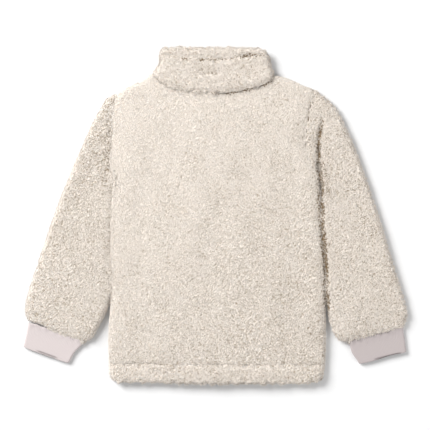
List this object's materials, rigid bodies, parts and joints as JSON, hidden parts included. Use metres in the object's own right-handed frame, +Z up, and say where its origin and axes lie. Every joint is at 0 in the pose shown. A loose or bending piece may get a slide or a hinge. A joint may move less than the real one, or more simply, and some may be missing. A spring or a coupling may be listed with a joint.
{
  "type": "sherpa fleece jacket, laid flat with its back up",
  "caption": "Small child's sherpa fleece jacket laid flat, back up: stand collar, long sleeves with rib-knit cuffs, turned hem and a closed front zip.",
  "frame": {"origin": "middle of the laid jacket's box, on the surface it lies on", "axes": "+Z up off the surface, through the back of the jacket; +Y from hem to collar; +X towards the wearer's right sleeve"},
  "size_m": [0.577, 0.5038, 0.0174],
  "materials": {
    "sherpa_fleece": "curly pile, undyed cream, fully matt",
    "rib_knit": "fine one by one rib, soft and matt",
    "zip_tape": "woven tape, matt",
    "zip_coil": "moulded cream polyester coil",
    "zip_metal": "plated zinc, satin"
  },
  "bodies": {
    "jacket": {"back": "sherpa_fleece", "front_left": "sherpa_fleece", "front_right": "sherpa_fleece", "sleeve_left": "sherpa_fleece", "sleeve_right": "sherpa_fleece", "collar": "sherpa_fleece", "hem_back": "sherpa_fleece", "hem_front_left": "sherpa_fleece", "hem_front_right": "sherpa_fleece", "cuff_left": "rib_knit", "cuff_right": "rib_knit", "zip_tape_left": "zip_tape", "zip_tape_right": "zip_tape", "zip_teeth": "zip_coil", "zip_box": "zip_metal", "zip_slider": "zip_metal"},
    "pull": {"zip_pull": "zip_metal"}
  },
  "joints": [
    {"name": "pull_swing", "type": "hinge", "parent": "jacket", "child": "pull", "pos_m": [-0.00051, 0.20055, 0.00135], "axis": [1, 0, 0], "range_deg": [0, 170]}
  ]
}
